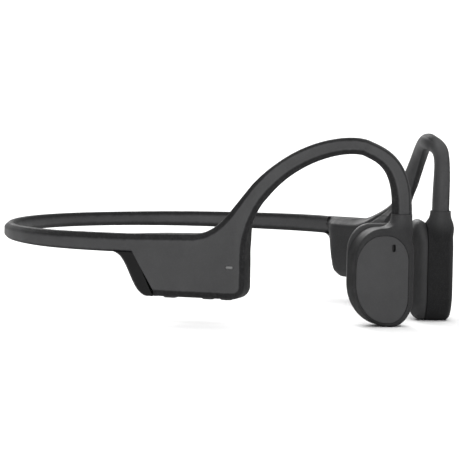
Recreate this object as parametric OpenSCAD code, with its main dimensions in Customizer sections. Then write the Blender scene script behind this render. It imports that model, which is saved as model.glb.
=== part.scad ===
// Bone conduction headphones: an elastic neckband, two pods behind the ears,
// two ear hooks and two transducer heads that rest on the cheekbones.
// Millimetres. +X points forward from the nape, +Y to the wearer's left, +Z up.
// The origin is under the middle of the outer box, level with the heads' lowest point.

/* [Neckband] */
// Radius of the neckband's centreline
band_r = 46; // [44:0.5:50]
// Distance of the neckband's centre behind the origin
band_back = 11.3; // [10:0.1:13]
// Height of the neckband's centreline
band_z = 18.3; // [17:0.1:19.5]
// Thickness of the silicone sleeve, front to back
band_t = 3.4; // [3.2:0.1:3.8]
// Height of the silicone sleeve
band_h = 4.2; // [4:0.1:4.6]
// Radius of the spring wire core
wire_r = 0.6; // [0.5:0.05:0.65]
// Angle from the nape at which the flexing stretch begins
flex_from = 12; // [10:1:16]
// Angle from the nape at which the flexing stretch ends
flex_to = 75; // [70:1:80]
// Angle from the nape at which the sleeve meets the pod
seam_at = 106; // [105:0.5:107]

/* [Pods] */
// How far the pods turn inwards from straight ahead, in degrees
pod_toe = 17.5; // [15:0.5:20]
// Distance from the seam to the pod's front edge
pod_len = 28.8; // [28.6:0.1:29.5]
// Height of the pod's lower edge
pod_z = 6.3; // [6:0.1:7]
// Height of the pod's upper edge
pod_top = 21.2; // [21:0.1:21.5]
// Distance from the neckband's centreline to the pod's outer face
pod_out = 1.8; // [1.7:0.1:2]
// Distance from the neckband's centreline to the pod's inner face
pod_in = 6.8; // [6.6:0.1:7.4]
// Radius of the pod's lower front corner
pod_corner = 3; // [2.5:0.1:3.5]
// Wall thickness of the casings
wall = 1.2; // [1:0.1:1.3]

/* [Ear hooks] */
// Crest of the hook: forward, sideways and up
hook_crest = [49.2, 15, 42.05];
// Half width of the hook at its crest
hook_w = 1.95; // [1.8:0.05:2.1]
// Half thickness of the hook
hook_t = 1.75; // [1.6:0.05:1.9]

/* [Heads] */
// Centre of the left head in plan
head_at = [50.8, 11.35];
// How far the heads turn inwards from straight ahead, in degrees
head_turn = 50; // [48:1:52]
// Width of a head
head_w = 14.7; // [14.4:0.1:15.2]
// Height of a head without its neck
head_h = 23.5; // [23:0.1:24]
// Thickness of a head
head_t = 10; // [9.8:0.1:10.4]
// Depth of the contact pad
pad_t = 3.8; // [3.6:0.1:4.2]
// Height of the joint between the neck and the hook
neck_z = 26.8; // [26.5:0.1:27.2]

/* [Buttons] */
// Travel of each button
press = 0.4; // [0.3:0.05:0.4]
// How far each volume button stands out
button_out = 0.4; // [0.3:0.05:0.45]

/* [Hidden] */
$fn = 48;
left = 1;
right = -1;
gap = 0.05;            // clearance round a part that sits in its seat
soft = "#2f3033";      // silicone skin
hard = "#26272a";      // moulded casing
panel_colour = "#4a4b4e";

// ---- Curves ----
function arc(cx, cy, rx, ry, from, to, steps) =
    [for (k = [0:steps]) let (a = from + (to - from) * k / steps) [cx + rx * cos(a), cy + ry * sin(a)]];
function bezier(p, t) =
    pow(1 - t, 3) * p[0] + 3 * pow(1 - t, 2) * t * p[1] + 3 * (1 - t) * t * t * p[2] + pow(t, 3) * p[3];
function unit(v) = v / norm(v);
// Outline of a plate standing on the ground with a different ellipse at each corner, drawn inset
function plate_outline(w, h, bl, br, tr, tl, inset) = concat(
    arc(bl[0] - w / 2, bl[1], bl[0] - inset, bl[1] - inset, 180, 270, 12),
    arc(w / 2 - br[0], br[1], br[0] - inset, br[1] - inset, 270, 360, 8),
    arc(w / 2 - tr[0], h - tr[1], tr[0] - inset, tr[1] - inset, 0, 90, 8),
    arc(tl[0] - w / 2, h - tl[1], tl[0] - inset, tl[1] - inset, 90, 180, 10));

// ---- Places ----
// The wearer's left side is modelled, and the right side is its mirror image
module on_side(side) {
    if (side == left) children();
    else mirror([0, 1, 0]) children();
}
// Neckband: angle 0 at the nape, growing towards the left pod
module band_arc(from, to) {
    translate([-band_back, 0, band_z]) rotate([0, 0, 180 - to]) rotate_extrude(angle = to - from, $fn = 180)
        translate([band_r, 0]) children();
}
seam = [band_r * cos(180 - seam_at) - band_back, band_r * sin(180 - seam_at)];
// Pod: x runs forward from the seam, y outwards and z up
module pod_frame(side) {
    on_side(side) translate([seam[0], seam[1], 0]) rotate([0, 0, -pod_toe]) children();
}
// Head: x runs forward and inwards along its width, y outwards and z up
module head_frame(side) {
    on_side(side) translate([head_at[0], head_at[1], 0]) rotate([0, 0, -head_turn]) children();
}
// Extrudes an outline drawn in x and z between two depths along y
module slab(from, to) {
    translate([0, to, 0]) rotate([90, 0, 0]) linear_extrude(to - from) children();
}

// ---- Neckband ----
wire_up = 0.7;         // the wire core lies above the sleeve's middle
cable_down = 0.95;     // the link cable lies below it
cable_r = 0.5;
into_pod = 9;          // the wire and the cable run on into a pod by this angle
module sleeve_profile() {
    edge = 0.9;
    bevel = 1.3;
    polygon([
        [edge - band_t / 2, -band_h / 2], [band_t / 2 - bevel, -band_h / 2], [band_t / 2, bevel - band_h / 2],
        [band_t / 2, band_h / 2 - edge], [band_t / 2 - edge, band_h / 2], [edge - band_t / 2, band_h / 2],
        [-band_t / 2, band_h / 2 - edge], [-band_t / 2, edge - band_h / 2]]);
}
module band_sleeve(from, to) {
    color(soft) band_arc(from, to) difference() {
        sleeve_profile();
        translate([0, wire_up]) circle(wire_r + gap);
        translate([0, -cable_down]) circle(cable_r + gap);
    }
}
module band_wire(from, to) {
    color("silver") band_arc(from, to) translate([0, wire_up]) circle(wire_r);
}
module band_cable(from, to) {
    color("dimgray") band_arc(from, to) translate([0, -cable_down]) circle(cable_r);
}
module side_wire(side) {
    on_side(side) band_wire(flex_to, seam_at + into_pod);
}
module side_cable(side) {
    on_side(side) band_cable(flex_to, seam_at + into_pod);
}
module pod_channels(side) {
    on_side(side) band_arc(seam_at - 1, seam_at + into_pod + 3) {
        translate([0, wire_up]) circle(wire_r + gap);
        translate([0, -cable_down]) circle(cable_r + gap);
    }
}

// ---- Ear hook path, left side ----
function pod_point(x, z) = [seam[0] + x * cos(pod_toe), seam[1] - x * sin(pod_toe), z];
function head_point(x, y, z) = [
    head_at[0] + x * cos(head_turn) + y * sin(head_turn),
    head_at[1] - x * sin(head_turn) + y * cos(head_turn), z];
root = [26.9, 24.4];                   // middle of the hook's root in the pod's frame
root_dir = unit([0.47, 0.88]);         // the hook leaves the pod along this direction
root_half = 3.4;
neck = [4.6, 1.7];                     // centre of the neck in the head's frame
crest_dir = [3.8, -0.8, -1.6];
hook_start = pod_point(root[0], root[1]);
hook_lift = pod_point(root[0] + 21 * root_dir[0], root[1] + 21 * root_dir[1]);
hook_end = head_point(neck[0], neck[1], neck_z);
back_curve = [hook_start, hook_lift, hook_crest - crest_dir, hook_crest];
front_curve = [hook_crest, hook_crest + 0.8 * crest_dir, hook_end + [0, 0, 11.6], hook_end];
function hook_at(s) = s <= 1 ? bezier(back_curve, s) : bezier(front_curve, s - 1);
function hook_dir(s) = unit(hook_at(min(s + 0.01, 2)) - hook_at(max(s - 0.01, 0)));
pod_normal = [sin(pod_toe), cos(pod_toe), 0];
head_normal = [sin(head_turn), cos(head_turn), 0];
function hook_out(s) = let (
        n = pod_normal + (head_normal - pod_normal) * s / 2,
        d = hook_tangent(s))
    unit(n - (n * d) * d);
function hook_tangent(s) = s <= 0 ? unit(hook_lift - hook_start) : s >= 2 ? [0, 0, -1] : hook_dir(s);
function hook_half_w(s) = lookup(s, [[0, root_half], [0.2, 2.4], [0.5, 2.15], [1, hook_w], [1.6, 2.1], [2, 2.25]]);
function hook_half_t(s) = lookup(s, [[0, hook_t], [1, hook_t], [2, 2.15]]);
hook_steps = [for (k = [0:15]) k / 15, for (k = [1:10]) 1 + k / 10];
// A ring of points round the path, moved across by the given offset
function hook_ring(s, a, b, across, sides) = let (
        o = hook_out(s),
        c = cross(hook_tangent(s), o))
    [for (k = [0:sides - 1]) let (t = 360 * k / sides)
        hook_at(s) + (across + a * cos(t)) * c + b * sin(t) * o];
module tube(rings) {
    sides = len(rings[0]);
    last = len(rings) - 1;
    polyhedron(
        points = [for (r = rings) each r],
        faces = concat(
            [[for (k = [sides - 1:-1:0]) k]],
            [[for (k = [0:sides - 1]) last * sides + k]],
            [for (i = [0:last - 1], k = [0:sides - 1]) let (n = (k + 1) % sides)
                [i * sides + k, i * sides + n, (i + 1) * sides + n, (i + 1) * sides + k]]));
}
lead_r = 0.4;
wire_side = 0.55;
lead_side = -0.95;
// A round line inside the hook, run on straight into the pod and into the head
module hook_line(r, across, into_root, into_neck) {
    sides = 8;
    first = hook_ring(0, r, r, across, sides);
    last = hook_ring(2, r, r, across, sides);
    tube(concat(
        [[for (p = first) p - into_root * hook_tangent(0)]],
        [for (s = hook_steps) hook_ring(s, r, r, across, sides)],
        [[for (p = last) p + into_neck * hook_tangent(2)]]));
}
module ear_hook_sleeve(side) {
    color(soft) on_side(side) difference() {
        tube([for (s = hook_steps) hook_ring(s, hook_half_w(s), hook_half_t(s), 0, 24)]);
        hook_line(wire_r + gap, wire_side, 1, 1);
        hook_line(lead_r + gap, lead_side, 1, 1);
    }
}
// Bores for those lines in the hook's root and in the neck
module root_bore(r, across, length) {
    translate([root[0], 0, root[1]]) rotate([0, atan2(root_dir[0], root_dir[1]), 0])
        translate([-across, 0, -length]) cylinder(r = r, h = length + 1);
}
module neck_bore(r, across, length) {
    translate([neck[0] + across, neck[1], neck_z - length]) cylinder(r = r, h = length + 1);
}
module ear_hook_wire(side) {
    color("silver") on_side(side) hook_line(wire_r, wire_side, 5, 3.5);
}
module transducer_lead(side) {
    color("firebrick") on_side(side) hook_line(lead_r, lead_side, 6, 5.2);
}

// ---- Pods ----
pod_rear = 0.06;       // the casing starts this far in front of the seam
slant_top = 16.2;      // height at which the slanted rear edge starts
slant_foot = 6.5;      // how far forward that edge reaches at the bottom
parting = -4.6;        // depth of the joint between shell and cover
taper = 8;             // the inner face reaches its full depth here
module pod_side(inset) {
    polygon(concat(
        [[pod_rear + inset, pod_top - inset], [pod_rear + inset, slant_top]],
        [[slant_foot + inset, pod_z + inset]],
        arc(pod_len - pod_corner, pod_z + pod_corner, pod_corner - inset, pod_corner - inset, -90, 0, 8),
        [[pod_len - inset, pod_top - inset]]));
}
module pod_plan(inset) {
    round_front = 2.6;
    polygon(concat(
        [[pod_rear + inset, band_t / 2 - inset], [pod_rear + inset, inset - band_t / 2]],
        [[taper + inset, inset - pod_in]],
        arc(pod_len - round_front, round_front - pod_in, round_front - inset, round_front - inset, -90, 0, 6),
        arc(pod_len - 1, pod_out - 1, 1 - min(inset, 0.9), 1 - min(inset, 0.9), 0, 90, 3),
        [[taper / 2, pod_out - inset]]));
}
module pod_block(inset) {
    intersection() {
        slab(-pod_in - 1, pod_out + 1) pod_side(inset);
        translate([0, 0, pod_z - 1]) linear_extrude(pod_top - pod_z + 2) pod_plan(inset);
    }
}
cavity_rear = taper + 0.4;
module pod_cavity() {
    intersection() {
        pod_block(wall);
        translate([cavity_rear, -pod_in, 0]) cube([pod_len, pod_in + pod_out, pod_top]);
    }
}
// The neck of casing that rises from the pod's top edge to the hook's root
module root_outline() {
    across = [root_dir[1], -root_dir[0]];
    rear = root - root_half * across;
    front = root + root_half * across;
    foot = [15.5, pod_top];
    polygon(concat(
        [for (k = [0:6]) let (t = k / 6)
            pow(1 - t, 2) * foot + 2 * (1 - t) * t * [20.6, pod_top] + t * t * rear],
        [front, [pod_len, pod_top - 3], [pod_len, pod_top - 0.01],
            [pod_len - 2, pod_top - wall], [foot[0], pod_top - wall]]));
}
module pod_casing() {
    pod_block(0);
    slab(-hook_t, hook_t) root_outline();
}
insert_at = [10.1, -2.4];
button_at = [19.2, 23.7];              // volume down, then volume up
button_y = -2.2;
led_at = [25.4, 13.8];
button_size = [3, 2.2];
insert_size = [3, 4.2];
led_size = [1.8, 0.7];
// A rounded bar lying along x
module bar_outline(size, grow) {
    r = size[1] / 2;
    polygon(concat(
        arc(size[0] / 2 - r, 0, r + grow, r + grow, -90, 90, 8),
        arc(r - size[0] / 2, 0, r + grow, r + grow, 90, 270, 8)));
}
module pod_shell(side) {
    color(hard) difference() {
        pod_frame(side) difference() {
            pod_casing();
            pod_cavity();
            translate([-1, -pod_in - 1, 0]) cube([pod_len + 2, parting + pod_in + 1, pod_top + 0.5]);
            root_bore(wire_r + gap, wire_side, 9);
            root_bore(lead_r + gap, lead_side, 9);
            if (side == right) pod_windows();
        }
        pod_channels(side);
    }
}
// Openings of the right pod for the volume buttons, the charging insert and the status light
module pod_windows() {
    through = wall + 1.5;
    for (x = button_at) translate([x, button_y, pod_z - 1]) linear_extrude(through) bar_outline(button_size, 0.1);
    translate([insert_at[0], insert_at[1], pod_z - 1]) linear_extrude(through)
        square([insert_size[0] + 2 * gap, insert_size[1] + 2 * gap], center = true);
    translate([led_at[0], pod_out + 1, led_at[1]]) rotate([90, 0, 0]) linear_extrude(through + 0.5)
        bar_outline(led_size, gap);
}
module pod_cover(side) {
    color(hard) pod_frame(side) difference() {
        pod_block(0);
        pod_cavity();
        translate([-1, parting, 0]) cube([pod_len + 2, pod_out + pod_in, pod_top + 0.5]);
    }
}
// The dark wedge under the neckband's end
module pod_trim(side) {
    color("#151518") pod_frame(side) slab(-band_t / 2, band_t / 2)
        polygon([[-3.6, 16.1], [pod_rear, 16.1], [slant_foot - 0.05, pod_z],
            [4.1, pod_z], [2.7, 7.4], [1.1, 9.8], [-1.1, 14]]);
}

// ---- Inside the pods ----
board_y = [-2.6, -1.6];
board_z = 10;
module main_board() {
    color("darkgreen") pod_frame(right) translate([9.2, board_y[0], board_z]) cube([18, 1, pod_top - wall - board_z]);
}
module radio_module() {
    color("gainsboro") pod_frame(right) translate([14, board_y[0] - 1.5, 11]) cube([8, 1.5, 7]);
}
module status_led() {
    color("ivory") pod_frame(right) translate([led_at[0] - 0.8, board_y[1], led_at[1] - 0.4]) cube([1.6, 0.6, 0.8]);
}
module led_light_guide() {
    color("whitesmoke") pod_frame(right) translate([led_at[0], pod_out, led_at[1]]) rotate([90, 0, 0])
        linear_extrude(pod_out - board_y[1] - 0.7) bar_outline(led_size, 0);
}
module charging_insert() {
    color("dimgray") pod_frame(right) translate([insert_at[0], insert_at[1], pod_z - 0.35]) difference() {
        translate([-insert_size[0] / 2, -insert_size[1] / 2, 0]) cube([insert_size[0], insert_size[1], 2.2]);
        for (y = [-1.1, 1.1]) translate([0, y, -1]) cylinder(r = 0.75 + gap, h = 4);
    }
}
module charging_contacts() {
    color("gold") pod_frame(right) for (y = [-1.1, 1.1])
        translate([insert_at[0], insert_at[1] + y, pod_z - 0.25]) cylinder(r = 0.75, h = 2.6);
}
module volume_button(x) {
    color(soft) pod_frame(right) translate([x, button_y, 0]) {
        translate([0, 0, pod_z - button_out]) linear_extrude(button_out + wall + 0.05) bar_outline(button_size, 0);
        translate([0, 0, pod_z + wall + 0.05]) linear_extrude(0.4) bar_outline(button_size, 0.5);
    }
}
module volume_switches() {
    floor_z = pod_z + wall + 0.45 + press + 0.05;
    color("black") pod_frame(right) for (x = button_at)
        translate([x - 1.5, button_y - 1.1, floor_z]) cube([3, 2.2, board_z - floor_z]);
}
module battery_cell() {
    color("silver") pod_frame(left) translate([9.3, wall - pod_in, pod_z + wall]) cube([15.3, 5, 11.5]);
}
module protection_board() {
    color("darkgreen") pod_frame(left) translate([24.9, wall - pod_in + 0.6, pod_z + wall]) cube([0.8, 4.6, 9]);
}

// ---- Heads ----
corner_bl = [9, 10.5];
corner_br = [5, 6.5];
corner_tr = [5, 6];
corner_tl = [7, 8];
head_back = -head_t / 2;               // face that touches the cheek
head_front = head_t / 2;               // face that looks outwards
pad_front = head_back + pad_t;
module head_outline(inset) {
    polygon(plate_outline(head_w, head_h, corner_bl, corner_br, corner_tr, corner_tl, inset));
}
neck_r = 2.3;
panel_inset = 1.7;
panel_t = 0.6;
panel_seat = 0.8;      // wall of the head shell behind the panel
inside_front = head_front - panel_t - panel_seat;
mic_at = [2.1, 18.8];
mfb_at = [0, 12];                      // multifunction button, on the left head
mfb_size = [4.2, 4.2];
module neck_flare() {
    slab(neck[1] - neck_r + 0.1, neck[1] + neck_r - 0.1) polygon(concat(
        [[head_w / 2, head_h - 7], [neck[0] + neck_r, neck_z - 1.5]],
        arc(neck[0] - neck_r - 3.6, neck_z - 1, 3.6, 2.7, 0, -90, 6),
        [[-2, head_h - 2]]));
}
module head_shell(side) {
    color(hard) head_frame(side) difference() {
        union() {
            slab(pad_front, head_front) head_outline(0);
            neck_flare();
            translate([neck[0], neck[1], head_h - 4]) cylinder(r = neck_r, h = neck_z - head_h + 4);
        }
        slab(pad_front - 1, inside_front) head_outline(wall);
        slab(head_front - panel_t, head_front + 1) head_outline(panel_inset - gap);
        neck_bore(wire_r + gap, wire_side, 6);
        neck_bore(lead_r + gap, lead_side, 6);
        translate([mic_at[0], 0, mic_at[1]]) rotate([-90, 0, 0]) cylinder(r = 0.6, h = head_t);
        if (side == left)
            translate([mfb_at[0], 0, mfb_at[1]]) rotate([-90, 0, 0]) cylinder(r = mfb_size[0] / 2 + 0.1, h = head_t);
    }
}
module head_panel(side) {
    color(panel_colour) head_frame(side) difference() {
        slab(head_front - panel_t, head_front) head_outline(panel_inset);
        translate([mic_at[0], 0, mic_at[1]]) rotate([-90, 0, 0]) cylinder(r = 0.6, h = head_t);
        if (side == left)
            translate([mfb_at[0], 0, mfb_at[1]]) rotate([-90, 0, 0]) cylinder(r = mfb_size[0] / 2 + 0.1, h = head_t);
    }
}
module contact_pad(side) {
    face_t = 0.8;
    color(soft) head_frame(side) difference() {
        union() {
            slab(head_back + face_t, pad_front) head_outline(0);
            slab(head_back, head_back + face_t) head_outline(1.2);
        }
        slab(head_back + 1.5, pad_front + 1) head_outline(wall);
    }
}
// Transducer: a coil fixed to the frame behind the pad, and a magnet and yoke on a leaf spring
drive_at = [0, 11.2];
module drive_frame(side) {
    head_frame(side) translate([drive_at[0], 0, drive_at[1]]) rotate([-90, 0, 0]) children();
}
module disc(r, from, to) {
    translate([0, 0, from]) cylinder(r = r, h = to - from);
}
module transducer_frame(side) {
    color("slategray") drive_frame(side) {
        difference() {
            disc(6.1, head_back + 1.5, 1.6);
            disc(5.5, -2.6, 2);
            disc(3.2, -4, 0);
        }
    }
}
module voice_coil(side) {
    color("orangered") drive_frame(side) difference() {
        disc(4.2, -2.6, -0.6);
        disc(3.5, -3, 0);
    }
}
module magnet(side) {
    color("silver") drive_frame(side) disc(3, -1.9, 0.1);
}
module yoke(side) {
    color("gray") drive_frame(side) difference() {
        disc(5.1, -1.9, 1.1);
        disc(4.6, -2.5, 0.1);
    }
}
// Thin disc whose slots leave four arms, clamped at its rim on the frame
module leaf_spring(side) {
    color("lightsteelblue") drive_frame(side) difference() {
        disc(5.95, 1.6, 1.8);
        for (a = [0:90:270]) rotate([0, 0, a]) rotate_extrude(angle = 68) translate([4.2, 0]) square([1, 5]);
        disc(1.2, 1, 3);
    }
    color("lightsteelblue") drive_frame(side) difference() {
        disc(2, 1.1, 1.6);
        disc(1.2, 1, 3);
    }
}
module microphone(side) {
    color("goldenrod") head_frame(side)
        translate([mic_at[0], inside_front - 1, mic_at[1]]) rotate([-90, 0, 0]) cylinder(r = 1.5, h = 1);
}
module multifunction_button() {
    cap = head_front + 0.35;
    seat = inside_front;
    color(soft) head_frame(left) translate([mfb_at[0], 0, mfb_at[1]]) rotate([-90, 0, 0]) {
        disc(mfb_size[0] / 2, seat - 0.05, cap);
        disc(mfb_size[0] / 2 + 0.4, seat - 0.35, seat - 0.05);
    }
}
switch_board_y = [2.15, 2.4];
module switch_board() {
    half = head_w / 2 - wall;
    color("darkgreen") head_frame(left)
        translate([-half, switch_board_y[0], mfb_at[1] - 2]) cube([2 * half, switch_board_y[1] - switch_board_y[0], 4]);
}
module multifunction_switch() {
    top = inside_front - 0.35 - press - 0.05;
    color("black") head_frame(left)
        translate([mfb_at[0] - 1.3, switch_board_y[1], mfb_at[1] - 1.3]) cube([2.6, top - switch_board_y[1], 2.6]);
}

band_sleeve(-flex_from, flex_from);  // neckband_sleeve_rear
band_sleeve(flex_from, flex_to);  // neckband_sleeve_flex_left
band_sleeve(-flex_to, -flex_from);  // neckband_sleeve_flex_right
band_sleeve(flex_to, seam_at);  // neckband_sleeve_left
band_sleeve(-seam_at, -flex_to);  // neckband_sleeve_right
band_wire(-flex_from, flex_from);  // neckband_wire_rear
band_wire(flex_from, flex_to);  // neckband_wire_flex_left
band_wire(-flex_to, -flex_from);  // neckband_wire_flex_right
side_wire(left);  // neckband_wire_left
side_wire(right);  // neckband_wire_right
band_cable(-flex_from, flex_from);  // link_cable_rear
band_cable(flex_from, flex_to);  // link_cable_flex_left
band_cable(-flex_to, -flex_from);  // link_cable_flex_right
side_cable(left);  // link_cable_left
side_cable(right);  // link_cable_right
pod_shell(left);  // left_pod_shell
pod_shell(right);  // right_pod_shell
pod_cover(left);  // left_pod_cover
pod_cover(right);  // right_pod_cover
pod_trim(left);  // left_pod_trim
pod_trim(right);  // right_pod_trim
ear_hook_sleeve(left);  // left_ear_hook_sleeve
ear_hook_sleeve(right);  // right_ear_hook_sleeve
ear_hook_wire(left);  // left_ear_hook_wire
ear_hook_wire(right);  // right_ear_hook_wire
transducer_lead(left);  // left_transducer_lead
transducer_lead(right);  // right_transducer_lead
head_shell(left);  // left_head_shell
head_shell(right);  // right_head_shell
head_panel(left);  // left_head_panel
head_panel(right);  // right_head_panel
contact_pad(left);  // left_contact_pad
contact_pad(right);  // right_contact_pad
transducer_frame(left);  // left_transducer_frame
transducer_frame(right);  // right_transducer_frame
leaf_spring(left);  // left_leaf_spring
leaf_spring(right);  // right_leaf_spring
voice_coil(left);  // left_voice_coil
voice_coil(right);  // right_voice_coil
magnet(left);  // left_magnet
magnet(right);  // right_magnet
yoke(left);  // left_yoke
yoke(right);  // right_yoke
microphone(left);  // left_microphone
microphone(right);  // right_microphone
battery_cell();
protection_board();
main_board();
radio_module();
status_led();
led_light_guide();
charging_insert();
charging_contacts();
volume_button(button_at[1]);  // volume_up_button
volume_button(button_at[0]);  // volume_down_button
volume_switches();
multifunction_button();
multifunction_switch();
switch_board();
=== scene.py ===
"""Looks of the bone conduction headphones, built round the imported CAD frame.

Shapes are worked out in millimetres and scaled once, in new_mesh(). +X points forward, +Y to the wearer's
left and +Z up. The left side is modelled and the right side is its mirror image.
"""
import math

import bmesh
import bpy
import numpy as np
from mathutils import Matrix, Vector

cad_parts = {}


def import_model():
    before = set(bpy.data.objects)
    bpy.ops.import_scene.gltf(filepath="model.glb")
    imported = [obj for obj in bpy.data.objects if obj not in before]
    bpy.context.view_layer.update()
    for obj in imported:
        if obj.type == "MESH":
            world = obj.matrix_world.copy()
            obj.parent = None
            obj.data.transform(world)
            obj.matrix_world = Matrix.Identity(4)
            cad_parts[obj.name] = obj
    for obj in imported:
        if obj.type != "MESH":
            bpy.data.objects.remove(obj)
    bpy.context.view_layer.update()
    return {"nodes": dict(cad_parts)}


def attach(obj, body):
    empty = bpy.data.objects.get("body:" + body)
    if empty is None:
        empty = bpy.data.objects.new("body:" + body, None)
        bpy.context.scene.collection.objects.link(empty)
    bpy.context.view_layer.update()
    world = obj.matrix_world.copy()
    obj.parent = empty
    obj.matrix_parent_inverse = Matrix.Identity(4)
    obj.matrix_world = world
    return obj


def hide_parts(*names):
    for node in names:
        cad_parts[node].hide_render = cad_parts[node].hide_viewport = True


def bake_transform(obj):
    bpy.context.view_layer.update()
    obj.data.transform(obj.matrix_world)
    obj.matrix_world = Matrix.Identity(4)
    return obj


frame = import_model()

MM = 0.001
NODES = frame["nodes"]
LEFT, RIGHT = "left", "right"
SIDES = (LEFT, RIGHT)

# ---- Driving sizes, within 0.3 mm of those in the CAD part ----
BAND_R = 46.0                     # neckband's arc, to the middle of its thickness
BAND_BACK = 11.3                  # the arc's centre lies this far behind the origin
BAND_Z = 18.3                     # middle of the neckband's height
BAND_T = 3.4                      # its thickness, at the pods
SEAM_AT = 106.0                   # the arc ends here and the pod's frame starts
WIRE_R, WIRE_UP = 0.6, 0.7        # spring wire, and its height over BAND_Z
CABLE_R, CABLE_DOWN = 0.5, 0.95   # link cable, and its depth under BAND_Z
INTO_POD = 9.0                    # wire and cable reach this many degrees past the seam
POD_TOE = math.radians(17.5)      # the pods toe in by this angle
POD_LEN, POD_Z = 28.8, 6.15       # pod's front edge from the seam, and its lower face
POD_OUT, POD_IN = 1.8, 6.8        # its depth outwards and inwards of the middle surface
POD_CORNER = 3.0                  # rounding of its lower front corner
PARTING = -4.6                    # depth of the joint between pod shell and cover
HEAD_AT, HEAD_TURN = (50.8, 11.35), math.radians(50)
HEAD_W, HEAD_H = 14.7, 23.5
HEAD_BACK, HEAD_FRONT = -5.0, 5.0
PAD_FRONT = -1.2                  # depth of the joint between head shell and contact pad
NECK = (4.85, 1.9)                # the neck's axis in the head's frame
NECK_R, NECK_Z = 2.5, 26.8        # its radius, and the height where the hook's sleeve starts
HOOK_CREST = np.array([49.2, 15.0, 42.25])
CREST_DIR = np.array([3.8, -0.8, -1.6])
ROOT = (26.9, 24.4)               # the hook's path starts here in the pod's side view
ROOT_DIR = np.array([0.47, 0.88]) / math.hypot(0.47, 0.88)
ROOT_PULL = 21                    # and runs this straight
NECK_PULL = 12.2                  # the path comes down this straight into the neck


# ---- Small mathematics ----
def vec(*xyz):
    return np.array(xyz, float)


def unit(v):
    return v / np.linalg.norm(v)


def smooth(lo, hi, x):
    t = np.clip((np.asarray(x, float) - lo) / (hi - lo), 0, 1)
    return t * t * (3 - 2 * t)


def bezier(p, t):
    return (1 - t) ** 3 * p[0] + 3 * (1 - t) ** 2 * t * p[1] + 3 * (1 - t) * t * t * p[2] + t ** 3 * p[3]


CORNER_STEPS = 5


def rounded(corners, radii):
    """Closed outline whose corners are rounded by a quadratic curve, with CORNER_STEPS points each."""
    points = []
    for k, (corner, r) in enumerate(zip(corners, radii)):
        c, a = np.array(corner, float), np.array(corners[k - 1], float)
        b = np.array(corners[(k + 1) % len(corners)], float)
        la, lb = np.linalg.norm(a - c), np.linalg.norm(b - c)
        pa, pb = c + (a - c) * min(r, 0.49 * la) / la, c + (b - c) * min(r, 0.49 * lb) / lb
        points += [(1 - t) ** 2 * pa + 2 * t * (1 - t) * c + t * t * pb
                   for t in np.linspace(0, 1, CORNER_STEPS)]
    return points


def circle(r, n):
    return [(r * math.cos(a), r * math.sin(a)) for a in np.linspace(0, 2 * math.pi, n, False)]


# ---- Frames ----
SEAM_ANGLE = math.radians(180 - SEAM_AT)
SEAM = (BAND_R * math.cos(SEAM_ANGLE) - BAND_BACK, BAND_R * math.sin(SEAM_ANGLE))
POD_OUTWARD = vec(math.sin(POD_TOE), math.cos(POD_TOE), 0)
HEAD_OUTWARD = vec(math.sin(HEAD_TURN), math.cos(HEAD_TURN), 0)


def pod_point(u, w, z):
    """Pod frame: u runs forward from the seam, w outwards and z up."""
    c, s = math.cos(POD_TOE), math.sin(POD_TOE)
    return vec(SEAM[0] + u * c + w * s, SEAM[1] - u * s + w * c, z)


def to_pod(p):
    """The pod's (u, w, z) of a point."""
    c, s = math.cos(POD_TOE), math.sin(POD_TOE)
    x, y = p[0] - SEAM[0], p[1] - SEAM[1]
    return vec(x * c - y * s, x * s + y * c, p[2])


def head_point(v, n, z):
    """Head frame: v runs forward and inwards along the width, n outwards and z up."""
    c, s = math.cos(HEAD_TURN), math.sin(HEAD_TURN)
    return vec(HEAD_AT[0] + v * c + n * s, HEAD_AT[1] - v * s + n * c, z)


def band_point(angle, out, z):
    """A point of the neckband: degrees from the nape, distance outwards of the arc, and height."""
    a = math.radians(180 - angle)
    return vec((BAND_R + out) * math.cos(a) - BAND_BACK, (BAND_R + out) * math.sin(a), z)


# ---- Ear hook path, left side ----
HOOK_START = pod_point(ROOT[0], 0, ROOT[1])
HOOK_LIFT = pod_point(ROOT[0] + ROOT_PULL * ROOT_DIR[0], 0, ROOT[1] + ROOT_PULL * ROOT_DIR[1])
HOOK_END = head_point(NECK[0], NECK[1], NECK_Z)
BACK_CURVE = [HOOK_START, HOOK_LIFT, HOOK_CREST - CREST_DIR, HOOK_CREST]
FRONT_CURVE = [HOOK_CREST, HOOK_CREST + 0.95 * CREST_DIR, HOOK_END + vec(0, 0, NECK_PULL), HOOK_END]


def hook_at(s):
    """The hook's middle line: s is 0 in the pod, 1 at the crest and 2 at the neck."""
    return bezier(BACK_CURVE, s) if s <= 1 else bezier(FRONT_CURVE, s - 1)


def hook_tangent(s):
    if s >= 2:
        return vec(0, 0, -1)
    return unit(hook_at(min(s + 0.01, 2)) - hook_at(max(s - 0.01, 0)))


def hook_out(s):
    """The direction of the hook's broad outer face."""
    n = POD_OUTWARD + (HEAD_OUTWARD - POD_OUTWARD) * s / 2
    d = hook_tangent(s)
    return unit(n - (n @ d) * d)


def hook_half_w(s):
    return np.interp(s, [0, 0.15, 0.3, 0.5, 0.7, 1, 1.3, 1.6, 2],
                     [3.4, 2.4, 2.18, 2.1, 2.0, 1.93, 2.0, 2.15, 2.45])


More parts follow.
